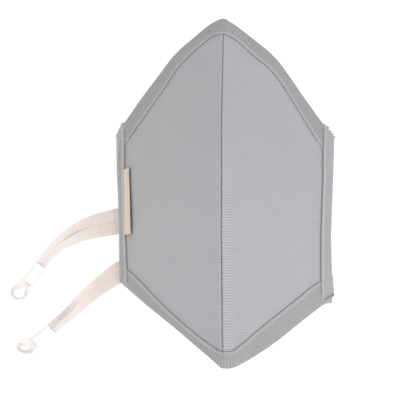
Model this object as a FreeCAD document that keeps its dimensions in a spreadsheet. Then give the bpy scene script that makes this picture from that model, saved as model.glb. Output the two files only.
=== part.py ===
"""Two-panel cloth face mask with ear loops, lying on its side edges like a tent.

Frame: millimetres, +Z up, +Y towards the nose end, -X the side the loops trail to.
The origin is on the surface under the middle of the mask.

Each half is a panel bent over an arc (the section) and swept round a long axis that lies
across it, so the ridge is gently crowned. Every cloth piece is a slice of that surface
between two offsets from the outer face, trimmed to an outline drawn in the plane of the
half's chord: first coordinate down from the ridge, second along the ridge.
"""
import FreeCAD, Part
import math
import os
import Sketcher

Vector = FreeCAD.Vector
SIDES = {"left": -1, "right": 1}

SIZES = [
    # the bent surface
    ("ridge_height", 90.46, "outer face above the surface, at the middle of the ridge"),
    ("section_radius", 327.9, "arc of a half, across the ridge"),
    ("slope_at_ridge", 50.0, "degrees below level where the half leaves the ridge"),
    ("chord_slope", 59.0, "degrees below level of the half's chord"),
    ("slope_at_end", 71.5, "degrees where the trimmed sheet stops, past the side edge"),
    ("crown_radius", 560.0, "of the ridge line, seen from the side"),
    ("crown_sweep", 22.0, "degrees swept to make the untrimmed sheet"),
    ("seam_gap", 0.15, "of each half from the middle plane"),
    # layers, as offsets from the outer face
    ("outer_cloth", 0.7, "thickness"),
    ("filter_cloth", 0.7, "thickness"),
    ("lining_cloth", 0.6, "thickness"),
    ("tape", 0.6, "thickness of the binding tape"),
    ("casing_tape", 0.7, "thickness of the side casing tape"),
    ("thread", 0.35, "height of a line of stitches"),
    ("label_lift", 0.15, "label's back above the outer face"),
    ("label_cloth", 0.5, "thickness of the folded label"),
    # outline of a half: reach down from the ridge, and place along it
    ("nose", 77.83, "nose end of the ridge"),
    ("chin", 77.91, "chin end of the ridge, towards -Y"),
    ("brow_reach", 34.0, "corner of the upper edge beside the nose"),
    ("brow", 66.8, "its place"),
    ("cheek_reach", 72.0, "bend in the upper edge"),
    ("cheek_left", 46.0, "its place on the left"),
    ("cheek_right", 45.5, "its place on the right"),
    ("jaw_reach", 63.0, "bend in the lower edge"),
    ("jaw_left", 47.0, "its place on the left, towards -Y"),
    ("jaw_right", 54.8, "its place on the right, towards -Y"),
    ("upper_reach_left", 103.15, "upper corner of the side edge"),
    ("upper_reach_right", 103.15, "upper corner of the side edge"),
    ("upper_left", 36.0, "its place"),
    ("upper_right", 36.0, "its place"),
    ("lower_reach_left", 99.9, "lower corner of the side edge"),
    ("lower_reach_right", 103.0, "lower corner of the side edge"),
    ("lower_left", 35.0, "its place, towards -Y"),
    ("lower_right", 42.5, "its place, towards -Y"),
    ("side_arc_radius", 230.0, "hollow of the side edge, which lets the loops pass under"),
    # tapes, stitches and label
    ("upper_depth", 7.6, "upper binding, along the ridge"),
    ("lower_depth_left", 9.0, "lower binding on the left, along the ridge"),
    ("lower_depth_right", 11.0, "lower binding on the right, along the ridge"),
    ("casing_width", 9.6, "side casing"),
    ("edge_wall", 0.8, "tape folded round an edge"),
    ("stitch_inset", 1.1, "line of stitches inside a tape's free edge"),
    ("stitch_width", 0.5, "line of stitches"),
    ("casing_overrun", 0.8, "casing past the ends of the bindings"),
    ("casing_tuck", 2.7, "bindings' ends short of the side edge, inside the casing"),
    ("seam_stitch_at", 0.5, "ridge stitches from the middle plane"),
    ("seam_stitch_slope", 50.15, "degrees below level where the ridge stitches end"),
    ("label_width", 10.0, "label across"),
    ("label_top", 17.5, "label's end towards the nose"),
    ("label_bottom", 14.0, "label's end towards the chin, towards -Y"),
    ("label_reach", 88.5, "label's sewn edge, just above the casing's free edge"),
    # loops and adjusters
    ("strap_dia", 2.4, "round tube of the elastic's cross-section"),
    ("adjuster_at", 15.2, "adjuster's middle from the start of the straight runs"),
    ("adjuster_length", 10.5, "along the strands"),
    ("adjuster_width", 8.0, "across the strands"),
    ("adjuster_height", 5.6, "thickness"),
    ("adjuster_slot_width", 5.7, "opening for both strands"),
    ("adjuster_slot_height", 3.0, "opening for both strands"),
    ("adjuster_rounding", 0.8, "outer end edges"),
]

# The elastic's centre line, from the casing's nose end round its far bight and back.
LEFT_LOOP = [
    (-47.65, 31.0, 5.8), (-39.0, 30.6, 3.4), (-28.0, 30.0, 1.2), (-14.0, 28.8, 1.2),
    (-1.0, 24.0, 1.2), (4.0, 14.0, 1.2), (-4.0, 5.5, 1.2), (-18.0, 3.6, 1.2),
    (-31.5, 2.6, 1.2), (-42.5, 0.6, 1.2), (-52.3, -2.8, 1.2), (-61.2, -4.6, 1.2),
    (-69.2, -7.4, 1.2), (-76.3, -11.9, 1.8), (-84.3, -18.2, 2.8), (-97.1, -36.4, 2.8),
    (-101.6, -37.4, 2.0), (-103.4, -41.6, 1.2), (-99.6, -44.6, 1.2), (-95.4, -42.4, 2.0),
    (-94.9, -38.0, 2.8), (-82.1, -19.8, 2.8), (-74.0, -15.4, 1.8), (-66.6, -12.2, 1.2),
    (-59.8, -11.0, 1.2), (-51.2, -9.6, 1.2), (-38.0, -7.2, 1.2), (-25.0, -5.4, 1.2),
    (-13.0, -4.8, 1.2), (-8.0, -9.8, 2.4), (-8.2, -16.8, 5.2), (-13.2, -21.8, 7.2),
    (-24.5, -24.4, 7.8), (-36.0, -26.2, 7.8), (-46.6, -27.6, 7.0),
]
RIGHT_LOOP = [
    (46.2, 31.0, 5.8), (40.5, 27.0, 3.4), (32.5, 20.0, 1.2), (22.4, 9.2, 1.2),
    (9.5, -2.2, 1.2), (-4.0, -14.0, 1.2), (-18.5, -20.6, 1.2), (-32.0, -23.4, 1.2),
    (-43.0, -25.2, 1.2), (-53.0, -29.0, 1.2), (-59.2, -34.0, 1.2), (-65.3, -39.0, 1.2),
    (-70.9, -44.4, 1.8), (-76.5, -50.5, 2.8), (-93.7, -64.7, 2.8), (-97.8, -64.4, 2.0),
    (-100.6, -67.8, 1.2), (-98.0, -71.6, 1.2), (-93.6, -71.2, 2.0), (-91.9, -66.7, 2.8),
    (-74.7, -52.6, 2.8), (-69.1, -46.8, 1.8), (-63.1, -41.6, 1.2), (-56.8, -37.0, 1.2),
    (-50.4, -32.2, 1.2), (-41.0, -29.0, 1.2), (-30.0, -29.2, 1.2), (-15.0, -30.4, 1.2),
    (3.0, -32.4, 1.2), (20.0, -34.8, 1.2), (33.0, -35.6, 1.2), (41.0, -35.8, 3.4),
    (45.8, -35.8, 5.8),
]
# The straight runs that each adjuster holds: its outward run's and its return run's points.
ADJUSTER_RUNS = {"left": (14, 15, 21), "right": (13, 14, 20)}
ARC_SHARE = 0.45  # of the shorter run that a corner's arc takes


def make_sheet(doc):
    """The spreadsheet of driving dimensions."""
    sheet = doc.addObject("Spreadsheet::Sheet", "Sizes")
    for row, (alias, value, note) in enumerate(SIZES, start=1):
        sheet.set("A%d" % row, note)
        sheet.set("B%d" % row, str(value))
        sheet.setAlias("B%d" % row, alias)
    doc.recompute()
    return sheet


class Sum:
    """A signed sum of sheet values: its number and its formula."""

    def __init__(self, *terms):
        self.terms = terms

    def number(self, sheet):
        return sum(
            -sheet.get(t[1:]) if t.startswith("-") else sheet.get(t) for t in self.terms
        )

    def formula(self):
        text = " + ".join(
            "-Sizes." + t[1:] if t.startswith("-") else "Sizes." + t for t in self.terms
        )
        return "(" + text + ")" if text else "0"


def origin_plane(body, role):
    """The body's own origin plane of that role."""
    return next(f for f in body.Origin.OriginFeatures if f.Role == role)


def drive(sketch, constraint, formula):
    """Add a constraint and bind its value to the sheet."""
    index = sketch.addConstraint(constraint)
    sketch.setExpression("Constraints[%d]" % index, formula)


def place_point(sketch, geo, pos, x, y, x_formula, y_formula):
    """Hold a sketch point at driven distances from the sketch's origin."""
    drive(sketch, Sketcher.Constraint("DistanceX", -1, 1, geo, pos, x), x_formula)
    drive(sketch, Sketcher.Constraint("DistanceY", -1, 1, geo, pos, y), y_formula)


def section_sketch(body, sheet, side, low, high, near, slope):
    """The strip between two offsets from the outer face, and the axis it is swept about."""
    near_x, near_formula = side * sheet.get(near), "%d * Sizes.%s" % (side, near)
    sketch = body.newObject("Sketcher::SketchObject", body.Name + "_section")
    sketch.AttachmentSupport = [(origin_plane(body, "XZ_Plane"), "")]
    sketch.MapMode = "FlatFace"
    radius, top = sheet.section_radius, sheet.ridge_height
    ridge, end = math.radians(sheet.slope_at_ridge), math.radians(sheet.get(slope))
    centre = Vector(-side * radius * math.sin(ridge), top - radius * math.cos(ridge), 0)
    centre_x = "%d * Sizes.section_radius * sin(Sizes.slope_at_ridge)" % -side
    centre_y = "Sizes.ridge_height - Sizes.section_radius * cos(Sizes.slope_at_ridge)"
    arcs = []
    for offset in (high, low):
        size = radius + offset.number(sheet)
        start = math.asin((radius * math.sin(ridge) + abs(near_x)) / size)
        angles = [math.pi / 2 - side * start, math.pi / 2 - side * end]
        circle = Part.Circle(centre, Vector(0, 0, 1), size)
        arc = sketch.addGeometry(Part.ArcOfCircle(circle, min(angles), max(angles)))
        first, last = (2, 1) if side > 0 else (1, 2)
        size_formula = "Sizes.section_radius + " + offset.formula()
        drive(sketch, Sketcher.Constraint("Radius", arc, size), size_formula)
        place_point(sketch, arc, 3, centre.x, centre.y, centre_x, centre_y)
        drive(
            sketch,
            Sketcher.Constraint("DistanceX", -1, 1, arc, first, near_x),
            near_formula,
        )
        far_x = centre.x + side * size * math.sin(end)
        drive(
            sketch,
            Sketcher.Constraint("DistanceX", -1, 1, arc, last, far_x),
            "%s + %d * (%s) * sin(Sizes.%s)" % (centre_x, side, size_formula, slope),
        )
        arcs.append(arc)
    outer, inner = arcs
    for pos in (1, 2):
        a, b = (sketch.Geometry[arc] for arc in (outer, inner))
        points = [g.StartPoint if pos == 1 else g.EndPoint for g in (a, b)]
        line = sketch.addGeometry(Part.LineSegment(*points))
        sketch.addConstraint(Sketcher.Constraint("Coincident", line, 1, outer, pos))
        sketch.addConstraint(Sketcher.Constraint("Coincident", line, 2, inner, pos))
    level = top - sheet.crown_radius
    axis = sketch.addGeometry(
        Part.LineSegment(Vector(0, level, 0), Vector(50, level, 0)), True
    )
    level_formula = "Sizes.ridge_height - Sizes.crown_radius"
    place_point(sketch, axis, 1, 0, level, "0", level_formula)
    place_point(sketch, axis, 2, 50, level, "50", level_formula)
    return sketch


def outline_sketch(body, sheet, side, corners, arcs):
    """A frame round an outline in the plane of the half's chord; arcs names hollow edges."""
    sketch = body.newObject("Sketcher::SketchObject", body.Name + "_outline")
    sketch.AttachmentSupport = [(origin_plane(body, "XY_Plane"), "")]
    sketch.MapMode = "FlatFace"
    turn = FreeCAD.Rotation(Vector(0, 1, 0), sheet.chord_slope)
    sketch.AttachmentOffset = FreeCAD.Placement(Vector(0, 0, sheet.ridge_height), turn)
    sketch.setExpression("AttachmentOffset.Base.z", "Sizes.ridge_height")
    slope_formula = "%d * Sizes.chord_slope" % side
    sketch.setExpression("AttachmentOffset.Rotation.Angle", slope_formula)
    frame = [(-60, -140), (180, -140), (180, 140), (-60, 140)]
    lines = []
    for (x0, y0), (x1, y1) in zip(frame, frame[1:] + frame[:1]):
        segment = Part.LineSegment(Vector(side * x0, y0, 0), Vector(side * x1, y1, 0))
        lines.append(sketch.addGeometry(segment))
    join_ring(sketch, lines, {})
    for line, (x, y) in zip(lines, frame):
        place_point(sketch, line, 1, side * x, y, str(side * x), str(y))
    points = [
        Vector(side * x.number(sheet), y.number(sheet), 0) for x, y in corners
    ]
    lines, ends = [], {}
    for i, point in enumerate(points):
        after = points[(i + 1) % len(points)]
        if i not in arcs:
            lines.append(sketch.addGeometry(Part.LineSegment(point, after)))
            continue
        arc, ends[i] = hollow_arc(point, after, sheet.side_arc_radius, side)
        lines.append(sketch.addGeometry(arc))
    join_ring(sketch, lines, ends)
    for i, (line, (x, y)) in enumerate(zip(lines, corners)):
        pos = ends.get(i, (1, 2))[0]
        x_formula = "%d * %s" % (side, x.formula())
        place_point(sketch, line, pos, points[i].x, points[i].y, x_formula, y.formula())
    for i in arcs:
        drive(
            sketch,
            Sketcher.Constraint("Radius", lines[i], sheet.side_arc_radius),
            "Sizes.side_arc_radius",
        )
    return sketch


def hollow_arc(point, after, radius, side):
    """The arc centred outside the mask, and which of its ends are point and after."""
    chord = after - point
    across = Vector(chord.y, -chord.x, 0).normalize()
    across *= math.copysign(1, across.x * side)
    centre = (point + after) * 0.5 + across * math.sqrt(radius**2 - chord.Length**2 / 4)
    angles = [math.atan2(p.y - centre.y, p.x - centre.x) for p in (point, after)]
    if side > 0:
        angles = [a % (2 * math.pi) for a in angles]
    arc = Part.ArcOfCircle(Part.Circle(centre, Vector(0, 0, 1), radius), *sorted(angles))
    return arc, (1, 2) if angles[0] < angles[1] else (2, 1)


def join_ring(sketch, lines, ends):
    """Make each edge end where the next begins."""
    for i, line in enumerate(lines):
        j = (i + 1) % len(lines)
        stop, start = ends.get(i, (1, 2))[1], ends.get(j, (1, 2))[0]
        sketch.addConstraint(Sketcher.Constraint("Coincident", line, stop, lines[j], start))


def cloth(
    doc, sheet, label, side, low, high, corners, arcs=(), near="seam_gap", slope="slope_at_end"
):
    """A slice of the bent surface between two offsets, trimmed to an outline."""
    body = doc.addObject("PartDesign::Body", label)
    section = section_sketch(body, sheet, side, low, high, near, slope)
    sheet_feature = body.newObject("PartDesign::Revolution", label + "_sweep")
    sheet_feature.Profile = section
    sheet_feature.ReferenceAxis = (section, ["Axis0"])
    sheet_feature.Midplane = True
    sheet_feature.setExpression("Angle", "Sizes.crown_sweep")
    doc.recompute()
    whole = sheet_feature.Shape.Volume
    outline = outline_sketch(body, sheet, side, corners, arcs)
    trim = body.newObject("PartDesign::Pocket", label + "_trim")
    trim.Profile = outline
    trim.Type = "ThroughAll"
    trim.SideType = "Symmetric"
    body.Tip = trim
    doc.recompute()
    if not 0 < body.Shape.Volume < whole:
        raise RuntimeError(label + ": the trim left %.1f" % body.Shape.Volume)
    return body


def cut(doc, label, base, tool):
    """base with tool taken away."""
    result = doc.addObject("Part::Cut", label)
    result.Base, result.Tool = base, tool
    doc.recompute()
    return result


def moved(points, along=(), across=()):
    """The corners with the same terms added to each coordinate."""
    return [
        (Sum(*x.terms, *across), Sum(*y.terms, *along)) for x, y in points
    ]


def upper_edge(side_name, inset=()):
    """The upper edge, from the ridge to the side."""
    return [
        (Sum(), Sum("nose", *inset)),
        (Sum("brow_reach"), Sum("brow", *inset)),
        (Sum("cheek_reach"), Sum("cheek_" + side_name, *inset)),
        (Sum("upper_reach_" + side_name), Sum("upper_" + side_name, *inset)),
    ]


def lower_edge(side_name, inset=()):
    """The lower edge, from the side to the ridge."""
    return [
        (Sum("lower_reach_" + side_name), Sum("-lower_" + side_name, *inset)),
        (Sum("jaw_reach"), Sum("-jaw_" + side_name, *inset)),
        (Sum(), Sum("-chin", *inset)),
    ]


def half_outline(side_name):
    """The cloth layers of a half, inside the tapes' folds."""
    upper = moved(upper_edge(side_name), along=["-edge_wall"])
    lower = moved(lower_edge(side_name), along=["edge_wall"])
    upper[-1] = moved(upper[-1:], across=["-edge_wall", "-edge_wall"])[0]
    lower[0] = moved(lower[:1], across=["-edge_wall", "-edge_wall"])[0]
    return upper + lower, (len(upper) - 1,)


def band(outer, inner):
    """The strip between an edge and the same edge moved inwards."""
    return outer + inner[::-1]


def side_band(side_name, out_terms, in_terms, extra=()):
    """The strip along the side edge between two insets from it."""
    top, bottom = upper_edge(side_name)[-1:], lower_edge(side_name)[:1]
    past, short = moved(top, extra), moved(bottom, ["-" + t for t in extra])
    outer = moved(past, across=out_terms) + moved(short, across=out_terms)
    inner = moved(short, across=in_terms) + moved(past, across=in_terms)
    return outer + inner, (0, 2)


def side_cloth(doc, sheet, name):
    """Every cloth, tape and thread piece of one half: {node: object}."""
    side, pieces = SIDES[name], {}
    outline, arcs = half_outline(name)
    filter_face, lining_face = ["-outer_cloth"], ["-outer_cloth", "-filter_cloth"]
    back = lining_face + ["-lining_cloth"]
    layers = (
        ("outer_panel", filter_face, []),
        ("filter_layer", lining_face, filter_face),
        ("lining", back, lining_face),
    )
    for kind, low, high in layers:
        label = "%s_%s" % (kind, name)
        pieces[label] = cloth(doc, sheet, label, side, Sum(*low), Sum(*high), outline, arcs)

    tape_back = back + ["-tape"]
    edges = {
        "upper": (upper_edge(name), "upper_depth", "-"),
        "lower": (lower_edge(name)[::-1], "lower_depth_" + name, ""),
    }
    for kind, (edge, depth, inwards) in edges.items():
        edge = edge[:-1] + moved(edge[-1:], across=["-casing_tuck"])
        label = "%s_binding_%s" % (kind, name)
        free = moved(edge, along=[inwards + depth])
        full = cloth(
            doc, sheet, label + "_full", side, Sum(*tape_back), Sum("tape"), band(edge, free)
        )
        inside = moved(edge, along=[inwards + "edge_wall"])
        deep = moved(free, along=[inwards + "casing_width"])
        for ring in (inside, deep):
            ring[-1] = moved(ring[-1:], across=["casing_width"])[0]
        core = cloth(
            doc, sheet, label + "_core", side, Sum(*back), Sum(), band(inside, deep)
        )
        pieces[label] = cut(doc, label, full, core)
        back_off = "-" if inwards == "" else ""
        near = moved(free, along=[back_off + "stitch_inset"])
        far = moved(near, along=[back_off + "stitch_width"])
        for ring in (near, far):
            ring[-1] = moved(ring[-1:], across=["-casing_width"])[0]
        label = "%s_binding_thread_%s" % (kind, name)
        pieces[label] = cloth(
            doc, sheet, label, side, Sum("tape"), Sum("tape", "thread"), band(near, far)
        )

    label = "side_casing_" + name
    corners, arcs = side_band(name, [], ["-casing_width"], ["casing_overrun"])
    full = cloth(
        doc, sheet, label + "_full", side, Sum(*tape_back, "-casing_tape"),
        Sum("tape", "casing_tape"), corners, arcs,
    )
    corners, arcs = side_band(
        name, ["-edge_wall"], ["-casing_width", "-casing_width"],
        ["casing_overrun", "casing_overrun"],
    )
    core = cloth(
        doc, sheet, label + "_core", side, Sum(*tape_back), Sum("tape"), corners, arcs
    )
    pieces[label] = cut(doc, label, full, core)
    inner = ["-casing_width", "stitch_inset"]
    corners, arcs = side_band(name, inner + ["stitch_width"], inner)
    label = "casing_thread_" + name
    pieces[label] = cloth(
        doc, sheet, label, side, Sum("tape", "casing_tape"),
        Sum("tape", "casing_tape", "thread"), corners, arcs,
    )
    return pieces


def seam_thread(doc, sheet):
    """The line of stitches along the ridge, between the two bindings."""
    top = Sum("nose", "-upper_depth", "-edge_wall", "-stitch_width")
    bottom = Sum("-chin", "lower_depth_right")
    over, past = Sum("-brow_reach"), Sum("brow_reach")
    corners = [(over, top), (past, top), (past, bottom), (over, bottom)]
    label = "centre_seam_thread"
    thread = cloth(
        doc, sheet, label, SIDES["left"], Sum(), Sum("thread"), corners,
        near="seam_stitch_at", slope="seam_stitch_slope",
    )
    return {label: thread}


def label_tag(doc, sheet):
    """The folded label, hinged where it is sewn in at the left casing's free edge."""
    edge = ["label_reach"]
    far = edge + ["-label_width"]
    corners = [
        (Sum(*far), Sum("label_top")), (Sum(*edge), Sum("label_top")),
        (Sum(*edge), Sum("-label_bottom")), (Sum(*far), Sum("-label_bottom")),
    ]
    low, high = Sum("label_lift"), Sum("label_lift", "label_cloth")
    return {"label_tag": cloth(doc, sheet, "label_tag", SIDES["left"], low, high, corners)}


def rounded_path(points):
    """Straight runs joined by tangent arcs: the wire and its arcs' radii."""
    points = [Vector(*p) for p in points]
    edges, radii, at = [], [], points[0]
    for before, corner, after in zip(points, points[1:], points[2:]):
        back, on = before - corner, after - corner
        run = ARC_SHARE * min(back.Length, on.Length)
        start = corner + back * (run / back.Length)
        stop = corner + on * (run / on.Length)
        half_turn = (math.pi - back.getAngle(on)) / 2
        radius = run / math.tan(half_turn)
        towards = (start + stop) * 0.5 - corner
        reach = math.hypot(run, radius) - radius
        middle = corner + towards * (reach / towards.Length)
        edges += [Part.LineSegment(at, start).toShape()]
        edges += [Part.Arc(start, middle, stop).toShape()]
        radii.append(radius)
        at = stop
    edges.append(Part.LineSegment(at, points[-1]).toShape())
    return Part.Wire(edges), radii


def strap(doc, sheet, label, points):
    """A loop of elastic, as a round tube along its route."""
    path, radii = rounded_path(points)
    start = Vector(*points[0])
    section = Part.Wire(
        Part.makeCircle(sheet.strap_dia / 2, start, Vector(*points[1]) - start)
    )
    solid = path.makePipeShell([section], True, False)
    expected = math.pi * sheet.strap_dia**2 / 4 * path.Length
    print("%s: %.1f mm long, volume %.4f of section x length, arcs %s" % (
        label, path.Length, solid.Volume / expected, " ".join("%.1f" % r for r in radii)
    ))
    feature = doc.addObject("Part::Feature", label)
    feature.Shape = solid
    return {label: feature}


def adjuster(doc, sheet, label, points, runs):
    """A soft sleeve round both strands of a loop, on their straight runs."""
    start, stop, beside = (Vector(*points[i]) for i in runs)
    along = (stop - start).normalize()
    middle = (start + beside) * 0.5 + along * sheet.adjuster_at
    middle.z = 0
    body = doc.addObject("PartDesign::Body", label)
    sketch = body.newObject("Sketcher::SketchObject", label + "_ring")
    sketch.AttachmentSupport = [(origin_plane(body, "YZ_Plane"), "")]
    sketch.MapMode = "FlatFace"
    for kind in ("adjuster", "adjuster_slot"):
        oval(sketch, sheet, kind)
    pad = body.newObject("PartDesign::Pad", label + "_sleeve")
    pad.Profile = sketch
    pad.SideType = "Symmetric"
    pad.setExpression("Length", "Sizes.adjuster_length")
    doc.recompute()
    ends = [
        "Edge%d" % (i + 1)
        for i, e in enumerate(pad.Shape.Edges)
        if abs(abs(e.CenterOfMass.x) - sheet.adjuster_length / 2) < 1e-6
        and abs(e.BoundBox.ZLength) + e.BoundBox.YLength > 0
        and edge_reach(e, sheet) > sheet.adjuster_slot_height / 2 + 0.2
    ]
    rounding = body.newObject("PartDesign::Fillet", label + "_rounding")
    rounding.Base = (pad, ends)
    rounding.setExpression("Radius", "Sizes.adjuster_rounding")
    body.Tip = rounding
    turn = FreeCAD.Rotation(Vector(1, 0, 0), along)
    body.Placement = FreeCAD.Placement(middle, turn)
    doc.recompute()
    return {label: body}


def edge_reach(edge, sheet):
    """How far an end edge stands off the slot's own outline."""
    half = sheet.adjuster_height / 2
    flat = (sheet.adjuster_width - sheet.adjuster_height) / 2
    point = edge.valueAt((edge.FirstParameter + edge.LastParameter) / 2)
    return math.hypot(max(abs(point.y) - flat, 0), point.z - half)


def oval(sketch, sheet, kind):
    """A lying oval centred on the strands' height."""
    width, height = sheet.get(kind + "_width"), sheet.get(kind + "_height")
    level, flat = sheet.adjuster_height / 2, (width - height) / 2
    flat_formula = "(Sizes.%s_width - Sizes.%s_height) / 2" % (kind, kind)
    arcs = []
    for sign in (1, -1):
        circle = Part.Circle(Vector(sign * flat, level, 0), Vector(0, 0, 1), height / 2)
        start = -math.pi / 2 if sign > 0 else math.pi / 2
        arc = sketch.addGeometry(Part.ArcOfCircle(circle, start, start + math.pi))
        place_point(
            sketch, arc, 3, sign * flat, level,
            "%d * %s" % (sign, flat_formula), "Sizes.adjuster_height / 2",
        )
        drive(
            sketch, Sketcher.Constraint("Radius", arc, height / 2), "Sizes.%s_height / 2" % kind
        )
        arcs.append(arc)
    for a, b in (arcs, arcs[::-1]):
        ends = sketch.Geometry[a].EndPoint, sketch.Geometry[b].StartPoint
        line = sketch.addGeometry(Part.LineSegment(*ends))
        sketch.addConstraint(Sketcher.Constraint("Tangent", a, 2, line, 1))
        sketch.addConstraint(Sketcher.Constraint("Tangent", line, 2, b, 1))


def check(doc, pieces):
    """Stop if anything failed to rebuild or isn't a sound solid."""
    for obj in doc.Objects:
        if "Invalid" in obj.State or "Error" in obj.State:
            raise RuntimeError("%s: %s" % (obj.Label, obj.State))
    for node, obj in pieces.items():
        shape = obj.Shape
        if shape.isNull() or not shape.isValid() or not shape.Solids:
            raise RuntimeError(node + " isn't a sound solid")
        box = shape.BoundBox
        print("%-28s %d solid %9.1f mm3  x %6.1f %6.1f  y %6.1f %6.1f  z %6.2f %6.2f" % (
            node, len(shape.Solids), shape.Volume,
            box.XMin, box.XMax, box.YMin, box.YMax, box.ZMin, box.ZMax,
        ))


def main():
    doc = FreeCAD.newDocument("face_mask")
    sheet = make_sheet(doc)
    pieces = {}
    for name in SIDES:
        pieces.update(side_cloth(doc, sheet, name))
    pieces.update(seam_thread(doc, sheet))
    pieces.update(label_tag(doc, sheet))
    for name, points in (("left", LEFT_LOOP), ("right", RIGHT_LOOP)):
        pieces.update(strap(doc, sheet, "ear_loop_" + name, points))
        runs = ADJUSTER_RUNS[name]
        pieces.update(adjuster(doc, sheet, "adjuster_" + name, points, runs))
    doc.recompute()
    check(doc, pieces)
    os.makedirs("parts", exist_ok=True)
    for node, obj in pieces.items():
        obj.Label = node
        obj.Shape.exportStep("parts/%s.step" % node)


main()
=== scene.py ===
"""A two-panel cloth face mask with ear loops, two adjusters and a folded label.

Metres, +Z up, +Y towards the nose end. All cloth pieces are laid out on one bent surface:
a place is (x, y) seen from above, in mm, and a height off the outer face.
"""

import math
import random

import bmesh
import bpy
import numpy as np
from mathutils import Matrix, Vector, noise


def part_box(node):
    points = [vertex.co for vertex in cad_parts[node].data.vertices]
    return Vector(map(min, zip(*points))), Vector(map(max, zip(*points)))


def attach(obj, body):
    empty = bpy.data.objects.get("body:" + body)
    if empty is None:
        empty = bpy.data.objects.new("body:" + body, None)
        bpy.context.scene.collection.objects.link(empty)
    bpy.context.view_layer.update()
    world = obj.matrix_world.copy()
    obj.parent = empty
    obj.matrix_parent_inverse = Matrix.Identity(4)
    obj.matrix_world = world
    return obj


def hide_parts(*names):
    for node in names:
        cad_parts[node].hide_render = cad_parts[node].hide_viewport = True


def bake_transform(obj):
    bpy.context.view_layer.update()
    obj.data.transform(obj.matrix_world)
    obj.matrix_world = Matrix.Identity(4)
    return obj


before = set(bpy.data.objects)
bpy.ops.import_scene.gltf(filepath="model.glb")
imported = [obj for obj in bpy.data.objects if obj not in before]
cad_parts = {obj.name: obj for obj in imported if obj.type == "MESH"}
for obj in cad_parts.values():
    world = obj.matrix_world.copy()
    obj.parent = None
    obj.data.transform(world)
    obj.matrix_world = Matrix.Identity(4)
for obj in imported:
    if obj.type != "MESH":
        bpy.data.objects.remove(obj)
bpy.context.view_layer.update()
MM = 0.001

# ---------------------------------------------------------------- the bent surface, in mm
RIDGE_HEIGHT, SECTION_RADIUS, CROWN_RADIUS = 90.46, 327.9, 560.0
RIDGE_SLOPE = math.radians(50.0)
SECTION_X = SECTION_RADIUS * math.sin(RIDGE_SLOPE)
SECTION_Z = RIDGE_HEIGHT - SECTION_RADIUS * math.cos(RIDGE_SLOPE)
CROWN_Z = RIDGE_HEIGHT - CROWN_RADIUS
RIDGE_SOFTNESS = 0.35
# How far the middle seam strays from a straight line, by place along it.
SEAM_WANDER = [(-80, 0.5), (-60, 0.0), (-30, -0.3), (0, -0.35), (30, -0.3), (55, 0.2), (80, 0.7)]


def ease(share):
    """From 0 to 1 with a soft start and a soft end."""
    return share * share * (3 - 2 * share)


def from_ridge(x):
    """Distance from the ridge, with the crossing rounded off."""
    return np.sqrt(x * x + RIDGE_SOFTNESS**2) - RIDGE_SOFTNESS * 0.6


def surface(x, y, lift):
    """Points at (x, y) on the outer face, lifted off it; arrays in mm, result in metres."""
    x, y, lift = np.broadcast_arrays(*(np.asarray(a, float) for a in (x, y, lift)))
    slope = np.arcsin(np.minimum((from_ridge(x) + SECTION_X) / SECTION_RADIUS, 1))
    clear_of_ridge = ease(np.clip(np.abs(x) / 4, 0, 1))
    across = x + np.sign(x) * lift * np.sin(slope) * clear_of_ridge
    reach = from_ridge(across) + SECTION_X
    level = SECTION_Z + np.sqrt((SECTION_RADIUS + lift) ** 2 - reach**2)
    height = CROWN_Z + np.sqrt((level - CROWN_Z) ** 2 - y * y)
    wander = np.interp(y, *np.array(SEAM_WANDER).T) * np.exp(-((x / 14) ** 2))
    return np.stack([across + wander, y, height], axis=-1) * MM


def girth(x):
    """How far down the section x lies from the ridge."""
    away = np.minimum((np.abs(x) + SECTION_X) / SECTION_RADIUS, 1)
    return SECTION_RADIUS * (np.arcsin(away) - RIDGE_SLOPE) * np.sign(x)


def smooth_line(points, at, soft=1.6, even=True):
    """The line through the points with its corners rounded, at the given places."""
    xs, ys = np.array(points, float).T
    at = np.asarray(at, float)
    shifts = np.linspace(-soft, soft, 9)
    where = at[..., None] + shifts
    return np.interp(np.abs(where) if even else where, xs, ys).mean(axis=-1)


# Outlines seen from above: distance from the middle, then place along the ridge.
UPPER_EDGE = {
    "left": [(0, 76.3), (2.0, 76.4), (4.0, 75.8), (6.5, 74.9), (13.2, 70.8), (19.5, 67.2),
             (23.5, 64.3), (29.3, 58.4), (39.2, 49.2), (48.0, 40.6), (52.4, 36.0)],
    "right": [(0, 76.3), (2.4, 75.6), (5.6, 74.3), (12.1, 70.9), (20.8, 66.3), (25.8, 62.4),
              (31.5, 55.9), (36.8, 49.8), (42.3, 44.0), (46.9, 39.5), (52.4, 35.6)],
}
UPPER_SEAM = {
    "left": [(0, 69.3), (5.2, 69.3), (12.4, 64.8), (19.4, 59.8), (22.8, 56.2), (26.5, 51.3),
             (31.7, 46.0), (35.8, 41.9), (41.1, 36.4), (46.6, 30.7), (52.4, 24.6)],
    "right": [(0, 69.3), (5.4, 67.9), (12.1, 63.2), (20.2, 58.9), (25.7, 54.0), (35.7, 40.4),
              (40.6, 33.8), (46.2, 27.2), (52.4, 20.4)],
}
LOWER_EDGE = {
    "left": [(0, -76.2), (2.0, -75.2), (5.4, -72.0), (16.9, -62.3), (23.9, -56.7),
             (37.0, -46.7), (45.9, -39.4), (51.2, -35.0)],
    "right": [(0, -76.2), (2.5, -76.3), (5.8, -75.5), (11.9, -72.3), (19.4, -67.7),
              (25.4, -63.4), (37.4, -53.9), (44.6, -48.5), (52.4, -42.6)],
}
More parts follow.
